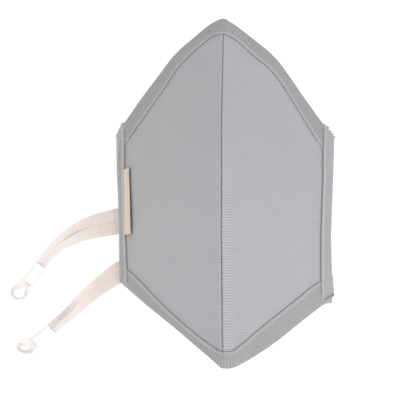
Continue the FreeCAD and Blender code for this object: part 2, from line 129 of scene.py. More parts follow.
LOWER_SEAM = {
    "left": [(0, -69.2), (2.7, -68.2), (8.2, -64.3), (14.4, -59.3), (17.3, -56.9),
             (23.9, -51.2), (31.3, -44.2), (38.3, -37.2), (42.9, -33.0), (51.2, -25.6)],
    "right": [(0, -69.2), (3.7, -68.9), (7.7, -66.2), (16.3, -58.9), (25.4, -51.7),
              (34.8, -44.0), (39.4, -39.9), (44.3, -36.4), (52.4, -30.4)],
}
# Side edges: place along the ridge, then distance from the middle.
SIDE_EDGE = {
    "left": [(-36, 49.8), (-25, 49.8), (-10, 49.9), (5, 50.6), (20, 51.7), (36, 52.1)],
    "right": [(-44, 51.3), (-30, 50.6), (-14, 50.1), (9, 51.2), (25, 52.0), (36, 52.3)],
}
SIDE_SEAM = {
    "left": [(-39, 45.6), (-26, 46.4), (-14, 46.8), (2, 47.25), (18, 47.6), (36, 48.0)],
    "right": [(-46, 45.0), (-40, 45.1), (-14, 45.3), (8, 46.2), (26, 46.5), (37, 46.8)],
}
SIDES = {"left": -1, "right": 1}
# Where the left and right lines run into each other, across the middle.
MEETING_WIDTH = 5.0


def signed(table, x, soft=1.6):
    """A left and right line as one, over x from the left side to the right."""
    x = np.asarray(x, float)
    left, right = (smooth_line(table[name], np.abs(x), soft) for name in SIDES)
    share = np.clip((x + MEETING_WIDTH / 2) / MEETING_WIDTH, 0, 1)
    return left + (right - left) * share


def side_line(table, side_name, y):
    """How far a side line lies from the middle, at places along the ridge."""
    return smooth_line(table[side_name], y, 2.0, even=False)


# ---------------------------------------------------------------------- mesh helpers
def circle(count):
    """That many angles, evenly round a circle."""
    return np.linspace(0, 2 * math.pi, count, endpoint=False)


def new_piece(name, verts, faces, uv, mat):
    """A mesh object; uv holds one pair in mm for each corner of each face."""
    mesh = bpy.data.meshes.new(name)
    mesh.from_pydata([tuple(v) for v in verts], [], faces)
    places = mesh.uv_layers.new(name="cloth")
    places.data.foreach_set("uv", np.asarray(uv, float).reshape(-1))
    mesh.polygons.foreach_set("use_smooth", [True] * len(mesh.polygons))
    mesh.materials.append(mat)
    mesh.validate()
    mesh.update()
    piece = bpy.data.objects.new(name, mesh)
    bpy.context.scene.collection.objects.link(piece)
    return piece


class Builder:
    """Collects grids of points into one mesh."""

    def __init__(self):
        self.verts, self.faces, self.uv, self.count = [], [], [], 0

    def grid(self, points, uv, close_u=False, flip=False):
        """points[i][j]; close_u joins the last column to the first."""
        rows, cols = points.shape[:2]
        self.verts.append(points.reshape(-1, 3))
        wide = cols if close_u else cols - 1
        for i in range(rows - 1):
            for j in range(wide):
                k = (j + 1) % cols
                corners = [(i, j), (i, k), (i + 1, k), (i + 1, j)]
                places = [
                    uv[a][b] if not (close_u and k == 0 and b == 0) else uv[a][cols]
                    for a, b in corners
                ]
                if flip:
                    corners, places = corners[::-1], places[::-1]
                self.faces.append([self.count + a * cols + b for a, b in corners])
                self.uv.extend(places)
        self.count += rows * cols

    def cap(self, ring, flip=False):
        """Close a ring of points with a fan about its middle."""
        ring = np.asarray(ring)
        self.verts.append(np.vstack([ring, ring.mean(axis=0)]))
        size = len(ring)
        for j in range(size):
            face = [j, (j + 1) % size, size]
            if flip:
                face = face[::-1]
            self.faces.append([self.count + f for f in face])
            self.uv.extend([(f * 0.3, 0.0) for f in face])
        self.count += size + 1

    def piece(self, name, mat):
        """All that was collected, as one mesh object."""
        return new_piece(name, np.vstack(self.verts), self.faces, self.uv, mat)


def merge_near(piece, distance=1e-6):
    """Weld the seams between grids."""
    mesh = bmesh.new()
    mesh.from_mesh(piece.data)
    bmesh.ops.remove_doubles(mesh, verts=mesh.verts, dist=distance)
    bmesh.ops.recalc_face_normals(mesh, faces=mesh.faces)
    mesh.to_mesh(piece.data)
    mesh.free()
    piece.data.update()
    return piece


def tube(name, rings, uv, mat):
    """A closed skin over rings of points, with a cap on both ends."""
    build = Builder()
    build.grid(np.array(rings), uv, close_u=True)
    build.cap(rings[0])
    build.cap(rings[-1], flip=True)
    return merge_near(build.piece(name, mat))


def spline_points(points, steps=12):
    """The smooth line with those control points, as an array."""
    curve = bpy.data.curves.new("route", "CURVE")
    curve.dimensions = "3D"
    spline = curve.splines.new("NURBS")
    spline.points.add(len(points) - 1)
    for point, place in zip(spline.points, points):
        point.co = (*place, 1)
    spline.order_u = 3
    spline.use_endpoint_u = True
    spline.resolution_u = steps
    holder = bpy.data.objects.new("route", curve)
    bpy.context.scene.collection.objects.link(holder)
    mesh = bpy.data.meshes.new_from_object(holder)
    line = np.array([v.co for v in mesh.vertices])
    bpy.data.objects.remove(holder)
    bpy.data.curves.remove(curve)
    bpy.data.meshes.remove(mesh)
    return line


def thinned(line, least):
    """Which points to keep so that none lies closer than that to the one before."""
    keep = [0]
    for i, point in enumerate(line):
        if np.linalg.norm(point - line[keep[-1]]) > least:
            keep.append(i)
    return keep


def along(line):
    """Distance along a line at each of its points."""
    steps = np.linalg.norm(np.diff(line, axis=0), axis=1)
    return np.concatenate([[0], np.cumsum(steps)])


def rounded(half_wide, half_tall, turn, power):
    """A closed outline, from a rectangle (power near 0) to an oval (power 1)."""
    across, above = np.cos(turn), np.sin(turn)
    across = half_wide * np.sign(across) * np.abs(across) ** power
    return across, half_tall * np.sign(above) * np.abs(above) ** power


# ------------------------------------------------------------------------- materials
class Shade:
    """A node material with short ways to write its sums."""

    def __init__(self, name, rough=0.85, sheen=0.0, **fixed):
        self.mat = bpy.data.materials.new(name)
        self.mat.use_nodes = True
        self.tree = self.mat.node_tree
        self.shader = self.tree.nodes["Principled BSDF"]
        self.shader.inputs["Roughness"].default_value = rough
        self.shader.inputs["Sheen Weight"].default_value = sheen
        for key, value in fixed.items():
            self.shader.inputs[key.replace("_", " ")].default_value = value
        self.uv = self.node("ShaderNodeUVMap")
        self.uv.uv_map = "cloth"
        split = self.node("ShaderNodeSeparateXYZ")
        self.link(self.uv.outputs["UV"], split.inputs[0])
        self.u, self.v = split.outputs["X"], split.outputs["Y"]

    def node(self, kind):
        return self.tree.nodes.new(kind)

    def link(self, a, b):
        self.tree.links.new(a, b)

    def put(self, socket, value):
        """A plain value, or another node's result."""
        if isinstance(value, bpy.types.NodeSocket):
            self.link(value, socket)
        else:
            socket.default_value = value

    def sum(self, op, a, b=0.0, c=0.0, clamp=False):
        """One step of arithmetic on values or other steps' results."""
        node = self.node("ShaderNodeMath")
        node.operation = op
        node.use_clamp = clamp
        for socket, value in zip(node.inputs, (a, b, c)):
            self.put(socket, value)
        return node.outputs[0]

    def wave(self, value, period, phase=0.0):
        """A sine of that period in mm, from -1 to 1."""
        turned = self.sum("MULTIPLY_ADD", value, 2 * math.pi / period, phase)
        return self.sum("SINE", turned)

    def cloud(self, size, detail=2.0, rough=0.5):
        """Smooth noise from 0 to 1, size in mm, fixed to the cloth."""
        node = self.node("ShaderNodeTexNoise")
        node.noise_dimensions = "2D"
        self.link(self.uv.outputs["UV"], node.inputs["Vector"])
        node.inputs["Scale"].default_value = 1.0 / size
        node.inputs["Detail"].default_value = detail
        node.inputs["Roughness"].default_value = rough
        return node.outputs["Fac"]

    def ramp(self, value, stops):
        """Colours by value: stops of (place, colour)."""
        node = self.node("ShaderNodeValToRGB")
        self.link(value, node.inputs[0])
        ramp = node.color_ramp
        while len(ramp.elements) < len(stops):
            ramp.elements.new(0.5)
        for element, (place, colour) in zip(ramp.elements, stops):
            element.position = place
            element.color = (*colour, 1)
        return node.outputs["Color"]

    def mix(self, share, a, b):
        """From colour a to colour b as the share goes from 0 to 1."""
        node = self.node("ShaderNodeMix")
        node.data_type = "RGBA"
        self.put(node.inputs["Factor"], share)
        for socket, value in ((node.inputs["A"], a), (node.inputs["B"], b)):
            self.put(socket, value if isinstance(value, bpy.types.NodeSocket) else (*value, 1))
        return node.outputs["Result"]

    def tinted(self, level, gains):
        """A colour from one level, with its own gain for red, green and blue."""
        node = self.node("ShaderNodeCombineColor")
        for socket, gain in zip(node.inputs, gains):
            self.put(socket, self.sum("MULTIPLY", level, gain))
        return node.outputs[0]

    def finish(self, colour, height, depth, strength):
        """The material with that colour, and a relief of that depth in mm."""
        self.link(colour, self.shader.inputs["Base Color"])
        bump = self.node("ShaderNodeBump")
        bump.inputs["Strength"].default_value = strength
        bump.inputs["Distance"].default_value = depth * MM
        self.link(height, bump.inputs["Height"])
        self.link(bump.outputs["Normal"], self.shader.inputs["Normal"])
        return self.mat


def grey(level):
    """A grey with a slight blue cast."""
    return level, level - 0.004, level + 0.006


def lattice(shade, period, slant=0.0):
    """A raised diamond lattice, -1 to 1."""
    leaning = shade.sum("MULTIPLY_ADD", shade.v, slant, shade.u)
    wide = shade.wave(leaning, period, math.pi / 2)
    long = shade.wave(shade.v, period, math.pi / 2)
    return shade.sum("MULTIPLY", shade.sum("SUBTRACT", long, wide), 0.5)


def panel_material(name, level, period, slant, band):
    """Grey cloth with a fine lattice, stronger on the welt beside the seam."""
    shade = Shade(name, rough=0.92, sheen=0.12)
    weave = lattice(shade, period, slant)
    cloud = shade.cloud(26.0, 3.0, 0.55)
    fine = shade.cloud(0.7, 2.0, 0.6)
    patch = shade.cloud(9.0, 2.0, 0.6)
    towards_chin = shade.sum("MULTIPLY_ADD", shade.v, -0.022, 0.72, clamp=True)
    level_now = shade.sum("MULTIPLY_ADD", cloud, 0.022, level - 0.016)
    # Painted light: the cloth is lighter towards the chin, which faces the light more.
    level_now = shade.sum("MULTIPLY_ADD", towards_chin, 0.016, level_now)
    level_now = shade.sum("MULTIPLY_ADD", fine, 0.022, level_now)
    if band:
        inside = shade.sum("MULTIPLY_ADD", shade.u, -0.45, 3.6, clamp=True)
        share = shade.sum("MULTIPLY_ADD", patch, 2.0, -0.88, clamp=True)
        share = shade.sum("MULTIPLY_ADD", inside, 0.95, share)
        share = shade.sum("MULTIPLY", share, towards_chin)
        share = shade.sum("ADD", share, 0.08)
        # Painted highlight: the welt beside the seam is lighter, more so towards the chin.
        painted_welt_highlight = shade.sum("MULTIPLY", inside, towards_chin)
        level_now = shade.sum("MULTIPLY_ADD", painted_welt_highlight, 0.020, level_now)
    else:
        share = shade.sum("MULTIPLY_ADD", patch, 1.8, -0.78, clamp=True)
        share = shade.sum("MULTIPLY_ADD", share, towards_chin, 0.05)
    dots = shade.sum("MULTIPLY", weave, share)
    level_now = shade.sum("MULTIPLY_ADD", dots, 0.105, level_now)
    speck = shade.node("ShaderNodeTexVoronoi")
    speck.voronoi_dimensions = "2D"
    shade.link(shade.uv.outputs["UV"], speck.inputs["Vector"])
    speck.inputs["Scale"].default_value = 1 / 17.0
    dark = shade.sum("LESS_THAN", speck.outputs["Distance"], 0.018)
    level_now = shade.sum("MULTIPLY_ADD", dark, -0.06, level_now)
    colour = shade.tinted(level_now, (1.0, 0.985, 1.035))
    height = shade.sum("MULTIPLY_ADD", fine, 0.5, dots)
    return shade.finish(colour, height, depth=0.16, strength=0.6)


def tape_material(name, level, period, strength):
    """Ribbed tape with a painted highlight along its sewn edge; the ribs cross it, u runs along
    it.
    """
    shade = Shade(name, rough=0.9, sheen=0.10)
    wobble = shade.cloud(3.0, 1.0)
    place = shade.sum("MULTIPLY_ADD", wobble, 0.25, shade.u)
    ribs = shade.wave(place, period)
    cross = shade.wave(shade.v, 0.8)
    fine = shade.cloud(0.6, 2.0, 0.6)
    cloud = shade.cloud(14.0, 3.0)
    patch = shade.cloud(5.0, 2.0)
    share = shade.sum("MULTIPLY_ADD", patch, 0.8, 0.45)
    shown = shade.sum("MULTIPLY", ribs, share)
    level_now = shade.sum("MULTIPLY_ADD", shown, 0.06 * strength, level - 0.02)
    level_now = shade.sum("MULTIPLY_ADD", cloud, 0.04, level_now)
    level_now = shade.sum("MULTIPLY_ADD", fine, 0.02, level_now)
    # Painted highlight: a paler strip along the sewn edge, where the rolled edge catches the
    # light.
    rim = shade.sum("MULTIPLY_ADD", shade.v, -0.9, 2.0, clamp=True)
    level_now = shade.sum("MULTIPLY_ADD", rim, 0.075, level_now)
    colour = shade.tinted(level_now, (1.0, 0.98, 1.02))
    height = shade.sum("MULTIPLY_ADD", cross, 0.15, shown)
    height = shade.sum("MULTIPLY_ADD", fine, 0.3, height)
    return shade.finish(colour, height, depth=0.2, strength=0.7 * strength)


def thread_material(name, level):
    """Twisted sewing thread; u runs along it, v round it."""
    shade = Shade(name, rough=0.7, sheen=0.2)
    leaning = shade.sum("MULTIPLY_ADD", shade.v, 0.6, shade.u)
    ply = shade.wave(leaning, 0.45)
    mixed = shade.sum("MULTIPLY_ADD", ply, 0.5, 0.5)
    colour = shade.mix(mixed, grey(level * 0.7), grey(level * 1.3))
    return shade.finish(colour, ply, depth=0.05, strength=0.5)


def plain_cloth(name, low, high, period):
    """Plain weave, over and under, in two colours."""
    shade = Shade(name, rough=0.93, sheen=0.08)
    warp, weft = shade.wave(shade.u, period), shade.wave(shade.v, period)
    weave = shade.sum("MULTIPLY", warp, weft)
    cloud = shade.cloud(11.0, 3.0)
    mixed = shade.sum("MULTIPLY_ADD", weave, 0.18, cloud)
    return shade.finish(shade.mix(mixed, low, high), weave, depth=0.08, strength=0.5)


def nonwoven(name):
    """Pressed fibres with the rows of small bonding points that such a layer has."""
    shade = Shade(name, rough=0.95)
    fibres = shade.cloud(0.5, 4.0, 0.75)
    points = shade.sum("GREATER_THAN", lattice(shade, 2.2), 0.55)
    height = shade.sum("MULTIPLY_ADD", points, -0.8, fibres)
    colour = shade.mix(fibres, (0.66, 0.66, 0.64), (0.86, 0.86, 0.84))
    return shade.finish(colour, height, depth=0.1, strength=0.6)


def elastic_material(name, painted_shade_at=None):
    """Knitted white elastic: ribs along it and fine courses across.

    The last argument is how far along it, in mm, the elastic is painted greyer: painted shade on
    a strand turned from the light.
    """
    shade = Shade(name, rough=0.85, sheen=0.25)
    ribs = shade.wave(shade.u, 1.0, math.pi / 2)
    courses = shade.wave(shade.v, 0.7)
    cloud = shade.cloud(12.0, 2.0)
    knit = shade.sum("MULTIPLY_ADD", courses, 0.35, ribs)
    colour = shade.ramp(cloud, [(0.32, (0.74, 0.63, 0.55)), (0.5, (0.78, 0.68, 0.63)),
                                (0.68, (0.72, 0.65, 0.64))])
    place = shade.node("ShaderNodeTexCoord")
    split = shade.node("ShaderNodeSeparateXYZ")
    shade.link(place.outputs["Object"], split.inputs[0])
    # Painted light and shade: paler towards the end rings, on the left, and darker near the
    # mask's edge, where the mask shades the elastic.
    painted_shade_near_mask = shade.sum("MULTIPLY_ADD", split.outputs["X"], 30.0, 2.75, clamp=True)
    colour = shade.mix(painted_shade_near_mask, (0.90, 0.84, 0.82), colour)
    if painted_shade_at:
        # Painted shade: greyer round that place along the strand.
        away = shade.sum("ABSOLUTE", shade.sum("SUBTRACT", shade.v, painted_shade_at))
        share = shade.sum("MULTIPLY_ADD", away, -0.10, 1.2, clamp=True)
        share = shade.sum("MULTIPLY", share, 0.8)
        colour = shade.mix(share, colour, (0.56, 0.49, 0.52))
    low = shade.sum("MULTIPLY_ADD", knit, 0.10, 0.88)
    colour = shade.mix(low, (0.62, 0.55, 0.53), colour)
    return shade.finish(colour, knit, depth=0.12, strength=0.55)


def label_material(name):
    """Cream woven satin with close ribs across its length."""
    shade = Shade(name, rough=0.6, sheen=0.2)
    ribs = shade.wave(shade.v, 0.55)
    warp = shade.wave(shade.u, 0.4)
    cloud = shade.cloud(6.0, 3.0)
    mixed = shade.sum("MULTIPLY_ADD", ribs, 0.12, cloud)
    colour = shade.mix(mixed, (0.55, 0.425, 0.335), (0.66, 0.54, 0.45))
    height = shade.sum("MULTIPLY_ADD", warp, 0.4, ribs)
    return shade.finish(colour, height, depth=0.07, strength=0.5)


def silicone_material(name):
    """Milky soft plastic with faint flow marks."""
    shade = Shade(name, rough=0.32, Transmission_Weight=0.25, IOR=1.4)
    cloud = shade.cloud(2.5, 3.0)
    streak = shade.wave(shade.sum("MULTIPLY_ADD", cloud, 2.0, shade.v), 2.6)
    colour = shade.ramp(cloud, [(0.3, (0.97, 0.95, 0.98)), (0.7, (1.0, 0.98, 1.0))])
    return shade.finish(colour, streak, depth=0.05, strength=0.3)


MATS = {
    # Painted shade: the left outer cloth is set a little darker than the right, as the side
    # turned from the light.
    "panel_left": panel_material("outer_cloth_left", 0.325, 1.15, 0.0, False),
    "panel_right": panel_material("outer_cloth_right", 0.335, 1.2, 0.35, True),
    "filter": nonwoven("filter_cloth"),
    "lining": plain_cloth("lining_cloth", (0.44, 0.43, 0.44), (0.60, 0.59, 0.60), 0.9),
    # Painted shade: the upper binding is set darker than the lower, as the top of the mask is
    # turned from the light.
    "upper_tape": tape_material("upper_binding_tape", 0.262, 1.08, 0.5),
    "lower_tape": tape_material("lower_binding_tape", 0.290, 1.08, 0.75),
    "casing": tape_material("casing_tape", 0.312, 1.4, 0.22),
    "thread": thread_material("sewing_thread", 0.17),
    "fray": thread_material("loose_yarn", 0.33),
    "elastic_left": elastic_material("knitted_elastic_left"),
    "elastic_right": elastic_material("knitted_elastic_right", painted_shade_at=153.0),
    "label": label_material("label_satin"),
    "silicone": silicone_material("adjuster_silicone"),
}


# ------------------------------------------------------------------------ camera, lights
def add_camera():
    """A camera high over the mask, leaning a little."""
    elevation, lean, distance = math.radians(84.5), math.radians(1.0), 0.7
    target = Vector((0, -0.0015, RIDGE_HEIGHT * MM))
    back = Vector((math.sin(lean), -math.cos(elevation) * math.cos(lean),
                   math.sin(elevation) * math.cos(lean))).normalized()
    right = Vector((0, 1, 0)).cross(back).normalized()
    up = back.cross(right)
    data = bpy.data.cameras.new("camera")
    data.lens, data.sensor_width = 146.8, 36.0
    data.shift_x, data.shift_y = -0.055, -0.015
    data.clip_start, data.clip_end = 0.01, 20
    camera = bpy.data.objects.new("camera", data)
    turn = Matrix((right, up, back)).transposed().to_4x4()
    camera.matrix_world = Matrix.Translation(target + back * distance) @ turn
    bpy.context.scene.collection.objects.link(camera)
    bpy.context.scene.camera = camera


def add_lights():
    """Wide soft lights in a white room."""
    world = bpy.data.worlds.new("studio")
    world.use_nodes = True
    world.node_tree.nodes["Background"].inputs["Color"].default_value = (1, 1, 1, 1)
    world.node_tree.nodes["Background"].inputs["Strength"].default_value = 0.72
    bpy.context.scene.world = world
    # Name, place, width and power.
    lamps = (
        ("key", (0.68, -0.55, 1.0), 1.1, 6.5),
        ("fill", (-0.9, -0.6, 1.0), 1.3, 4.0),
        ("top", (0.0, 0.2, 1.5), 1.2, 7.0),
    )
    for name, place, size, power in lamps:
        lamp = bpy.data.lights.new(name, "AREA")
        lamp.shape, lamp.size, lamp.energy = "SQUARE", size, power
        holder = bpy.data.objects.new(name, lamp)
        holder.location = place
        holder.rotation_euler = (Vector(place)).to_track_quat("Z", "Y").to_euler()
        bpy.context.scene.collection.objects.link(holder)


def add_floor():
    """A pale floor under the mask."""
    floor_mat = bpy.data.materials.new("pale_floor")
    floor_mat.use_nodes = True
    shader = floor_mat.node_tree.nodes["Principled BSDF"]
    shader.inputs["Base Color"].default_value = (0.93, 0.93, 0.93, 1)
    shader.inputs["Roughness"].default_value = 0.95
    shader.inputs["Emission Color"].default_value = (1, 1, 1, 1)
    shader.inputs["Emission Strength"].default_value = 0.2
    mesh = bpy.data.meshes.new("floor")
    mesh.from_pydata([(-3, -3, 0), (3, -3, 0), (3, 3, 0), (-3, 3, 0)], [], [(0, 1, 2, 3)])
    mesh.materials.append(floor_mat)
    floor = bpy.data.objects.new("floor", mesh)
    bpy.context.scene.collection.objects.link(floor)


# ------------------------------------------------------------------------- ear loops
# Route in mm, then how the tape lies there: its tilt in degrees and how far it is
# gathered from flat (0) to a narrow bunch (1).
LEFT_LOOP = [
    (-47.65, 31.0, 5.8, 20, 0.2), (-39.0, 30.6, 3.4, 5, 0), (-28.0, 30.0, 0.9, 0, 0),
    (-14.0, 28.8, 0.9, 0, 0), (-1.0, 24.0, 0.9, 0, 0), (4.0, 14.0, 0.9, 0, 0),
    (-4.0, 5.5, 0.9, 0, 0), (-18.0, 3.6, 0.9, 0, 0), (-31.5, 2.6, 0.9, 0, 0),
    (-42.5, 0.6, 0.9, 0, 0), (-52.3, -3.1, 0.9, 4, 0), (-61.2, -4.9, 1.5, 16, 0),
    (-69.2, -7.6, 2.3, 40, 0.1), (-76.3, -11.9, 2.8, 40, 0.45), (-84.3, -18.2, 2.8, 6, 0.85),
    (-97.1, -36.4, 2.8, 6, 1), (-101.6, -37.4, 2.9, 76, 0.12), (-103.4, -41.6, 3.0, 84, 0.05),
    (-99.6, -44.6, 3.0, 84, 0.05), (-95.4, -42.4, 2.9, 76, 0.12), (-94.9, -38.0, 2.8, 6, 1),
    (-82.1, -19.8, 2.8, -6, 0.85), (-74.0, -15.4, 2.3, -18, 0.45), (-66.6, -12.0, 1.4, 10, 0.05),
    (-59.8, -10.7, 1.0, 12, 0), (-51.2, -9.1, 0.9, 4, 0), (-38.0, -7.2, 0.9, 0, 0),
    (-25.0, -5.4, 0.9, 0, 0), (-13.0, -4.8, 1.2, 0, 0), (-8.0, -9.8, 2.4, 0, 0.1),
    (-8.2, -16.8, 5.2, 0, 0.1), (-13.2, -21.8, 7.2, 0, 0.1), (-24.5, -24.4, 7.8, 0, 0),
    (-36.0, -26.2, 7.8, 0, 0), (-46.6, -27.6, 7.0, 20, 0.2),
]
RIGHT_LOOP = [
    (46.2, 31.0, 5.8, 20, 0.2), (40.5, 27.0, 3.4, 5, 0), (32.5, 20.0, 0.9, 0, 0),
    (22.4, 9.2, 0.9, 0, 0), (9.5, -2.2, 0.9, 0, 0), (-4.0, -14.0, 0.9, 0, 0),
    (-18.5, -20.6, 0.9, 0, 0), (-32.0, -23.4, 0.9, 0, 0), (-43.0, -25.2, 0.9, 0, 0),
    (-53.0, -29.0, 1.2, 10, 0.1), (-59.2, -34.0, 1.9, 30, 0.3), (-65.3, -39.0, 2.2, 40, 0.35),
    (-70.9, -44.4, 2.6, 30, 0.45), (-76.5, -50.5, 2.8, 10, 0.82), (-93.7, -64.7, 2.8, 4, 1),
    (-97.6, -64.0, 2.9, 66, 0.2), (-100.2, -66.6, 2.9, 78, 0.1), (-97.6, -69.4, 2.9, 78, 0.1),
    (-93.0, -69.2, 2.8, 62, 0.2), (-91.6, -66.6, 2.8, 4, 1), (-74.7, -52.6, 2.8, -10, 0.82),
    (-69.1, -46.8, 2.3, -20, 0.45), (-63.1, -41.6, 1.7, 14, 0.35), (-56.8, -37.0, 1.3, 14, 0.25),
    (-50.4, -32.2, 0.9, 4, 0), (-41.0, -29.0, 0.9, 0, 0), (-30.0, -29.2, 0.9, 0, 0),
    (-15.0, -30.4, 0.9, 0, 0), (3.0, -32.4, 0.9, 0, 0), (20.0, -34.8, 0.9, 0, 0),
    (33.0, -35.6, 0.9, 0, 0), (41.0, -35.8, 3.4, 5, 0), (45.8, -35.8, 5.8, 20, 0.2),
]
TAPE_WIDTH, TAPE_THICK = 6.0, 1.0
BUNCH_WIDTH, BUNCH_THICK = 2.5, 2.3


def loop_section(gather):
    """Points round the elastic: a flat tape with soft edges, or a folded bunch."""
    turn = circle(28)
    power = 0.55 + 0.35 * gather
    wide = (TAPE_WIDTH + (BUNCH_WIDTH - TAPE_WIDTH) * gather) / 2
    thick = (TAPE_THICK + (BUNCH_THICK - TAPE_THICK) * gather) / 2
    across, above = rounded(wide, thick, turn, power)
    crease = np.exp(-((across / (0.16 * wide)) ** 2)) * (0.12 + 0.5 * gather)
    return across, above * (1 - 0.6 * crease)


def ear_loop(side_name, route):
    """One flat elastic along its route."""
    line = spline_points([(x * MM, y * MM, z * MM) for x, y, z, _, _ in route])
    lie = spline_points([(tilt * 0.01, gather, 0) for *_, tilt, gather in route])
    keep = thinned(line, 0.05 * MM)
    line, lie = line[keep], lie[keep]
    tangent = np.gradient(line, axis=0)
    tangent /= np.linalg.norm(tangent, axis=1)[:, None]
    side = np.cross(tangent, (0, 0, 1))
    side /= np.linalg.norm(side, axis=1)[:, None]
    over = np.cross(side, tangent)
    run = along(line) / MM
    rings, places = [], []
    for i, (point, tilt, gather) in enumerate(zip(line, lie[:, 0] * 100, lie[:, 1])):
        angle = math.radians(tilt)
        ripple = 0.06 * math.sin(run[i] * 1.9) + 0.05 * math.sin(run[i] * 0.61 + 1)
        across, above = loop_section(gather)
        above = above + ripple * (1 - gather)
        wide = side[i] * math.cos(angle) + over[i] * math.sin(angle)
        tall = -side[i] * math.sin(angle) + over[i] * math.cos(angle)
        rings.append(point + (across[:, None] * wide + above[:, None] * tall) * MM)
        flat = across * (1 + gather * 1.2)
        places.append([(a, run[i]) for a in flat] + [(flat[0], run[i])])
    name = "elastic_" + side_name
    piece = tube(name, rings, places, MATS[name])
    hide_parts("ear_loop_" + side_name)
    return piece


# Rings of the sleeve as (width, height, place along it), from one end to its middle.
SLEEVE_HALF = [
    (5.7, 3.1, -5.0), (5.9, 3.9, -5.2), (6.3, 4.8, -5.25), (6.6, 5.1, -5.0),
    (6.65, 5.2, -4.6), (6.5, 5.0, -4.1), (6.35, 4.8, -3.6), (6.25, 4.65, -2.4),
]
SLEEVE_OUTSIDE = [*SLEEVE_HALF, (6.2, 4.6, 0), *((w, h, -at) for w, h, at in SLEEVE_HALF[::-1])]
SLEEVE_INSIDE = [(5.6, 2.95, 3.0), (5.55, 2.9, 0), (5.6, 2.95, -3.0), (5.7, 3.1, -5.0)]


def adjuster(side_name, heading):
    """A milky silicone sleeve with rolled ends and a slot for both strands."""
    low, high = (np.array(c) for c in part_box("adjuster_" + side_name))
    middle = (low + high) / 2
    ahead = np.array((heading[0], heading[1], 0.0))
    ahead /= np.linalg.norm(ahead)
    side, up = np.array((-ahead[1], ahead[0], 0)), np.array((0, 0, 1.0))
    turn = circle(48)

    def ring(wide, tall, at):
        across, above = rounded(wide / 2, tall / 2, turn, 0.8)
        return middle + (across[:, None] * side + above[:, None] * up + at * ahead) * MM

    rings = np.array([ring(*size) for size in SLEEVE_OUTSIDE + SLEEVE_INSIDE])
    places = [[(j * 0.4, i * 0.7) for j in range(49)] for i in range(len(rings))]
    build = Builder()
    build.grid(rings, places, close_u=True)
    piece = merge_near(build.piece("slider_" + side_name, MATS["silicone"]))
    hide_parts("adjuster_" + side_name)
    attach(piece, side_name + "_loop_adjuster")


add_camera()
add_lights()
add_floor()
bpy.context.scene.view_settings.view_transform = "Standard"
left_loop = ear_loop("left", LEFT_LOOP)
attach(left_loop, "left_half")
right_loop = ear_loop("right", RIGHT_LOOP)
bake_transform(right_loop)
adjuster("left", (-12.8, -18.2))
adjuster("right", (-17.2, -14.2))


# ----------------------------------------------------------------------------- panels
HALF_WIDTH, CLOTH_INSET = 50.0, 0.8


def columns():
    """Distances from the middle, close together beside the seam."""
    near = np.arange(0, 6.01, 0.3)
    return np.concatenate([near, np.linspace(6.0, HALF_WIDTH, 62)[1:]])


def bumps(x, y, fineness, start, level):
    """Smooth bumps from -1 to 1; start and level choose which."""
    heights = [
        noise.noise(Vector((a * fineness[0] + start, b * fineness[1], level)))
        for a, b in zip(x.ravel(), y.ravel())
    ]
    return np.array(heights).reshape(x.shape)


def relief(side, x, y):
    """How one side's outer cloth stands off the smooth surface, in mm."""
    out = 0.5 * bumps(x, y, (0.035, 0.028), side * 9, 0.3)
    out += 0.12 * bumps(x, y, (0.13, 0.11), 0, side * 4.0)
    away = np.abs(x)
    groove = -0.45 * np.exp(-((away / 0.26) ** 2))
    if side > 0:
        rise = np.clip((away - 0.25) / 0.5, 0, 1)
        fall = np.clip((5.6 - away) / 1.6, 0, 1)
        tall = 0.2 + 0.4 * np.clip((45 - y) / 30, 0, 1)
        welt = tall * ease(rise) * ease(fall)
    else:
        welt = 0.45 * np.exp(-(((away - 1.35) / 0.7) ** 2))
    pucker = 0.10 * np.sin(y * 2.1 + np.sin(y * 0.7) * 1.5) * np.exp(-((away - 5) / 4.5) ** 2)
    return out + groove + welt + pucker * (away > 1)


def standing(x, y):
    """The relief on both sides, dying away towards the bound edges."""
    x, y = (np.asarray(a, float) for a in np.broadcast_arrays(x, y))
    share = np.clip((x + 0.3) / 0.6, 0, 1)
    both = relief(-1, x, y) * (1 - share) + relief(1, x, y) * share
    rim = np.minimum(signed(UPPER_EDGE, x) - y, y - signed(LOWER_EDGE, x))
    return both * np.clip(rim / 6, 0, 1)


def layer(name, node, side_name, top, bottom, mat, shaped):
    """One cloth layer of a half, from its top face to its underside."""
    side = SIDES[side_name]
    share = columns() / HALF_WIDTH
    rows = np.linspace(0, 1, 150)
    grid_x, grid_y = np.zeros((len(rows), len(share))), np.zeros((len(rows), len(share)))
    for j, part in enumerate(share):
        x = part * HALF_WIDTH
        for _ in range(3):
            high = smooth_line(UPPER_EDGE[side_name], x) - CLOTH_INSET
            low = smooth_line(LOWER_EDGE[side_name], x) + CLOTH_INSET
            y = low + (high - low) * rows
            x = part * (side_line(SIDE_EDGE, side_name, y) - CLOTH_INSET)
        grid_x[:, j], grid_y[:, j] = x * side, y
    lift = standing(grid_x, grid_y) if shaped else 0 * grid_x
    upper = surface(grid_x, grid_y, top + lift)
    lower = surface(grid_x, grid_y, bottom + lift)
    places = np.stack([girth(grid_x), grid_y], axis=-1)
    build = Builder()
    build.grid(upper, places, flip=side < 0)
    build.grid(lower, places, flip=side > 0)
    for pick in (np.s_[0, :], np.s_[-1, :], np.s_[:, 0], np.s_[:, -1]):
        build.grid(np.stack([upper[pick], lower[pick]]), np.stack([places[pick]] * 2))
    piece = merge_near(build.piece(name, mat))
    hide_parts(node)
    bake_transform(piece)
    return piece


for side_name in SIDES:
    cloths = (
        ("outer_cloth_", "outer_panel_", 0.0, -0.66, MATS["panel_" + side_name], True),
        ("filter_cloth_", "filter_layer_", -0.74, -1.34, MATS["filter"], False),
        ("lining_cloth_", "lining_", -1.42, -2.0, MATS["lining"], False),
    )
    for name, node, top, bottom, mat, shaped in cloths:
        piece = layer(name + side_name, node + side_name, side_name, top, bottom, mat, shaped)


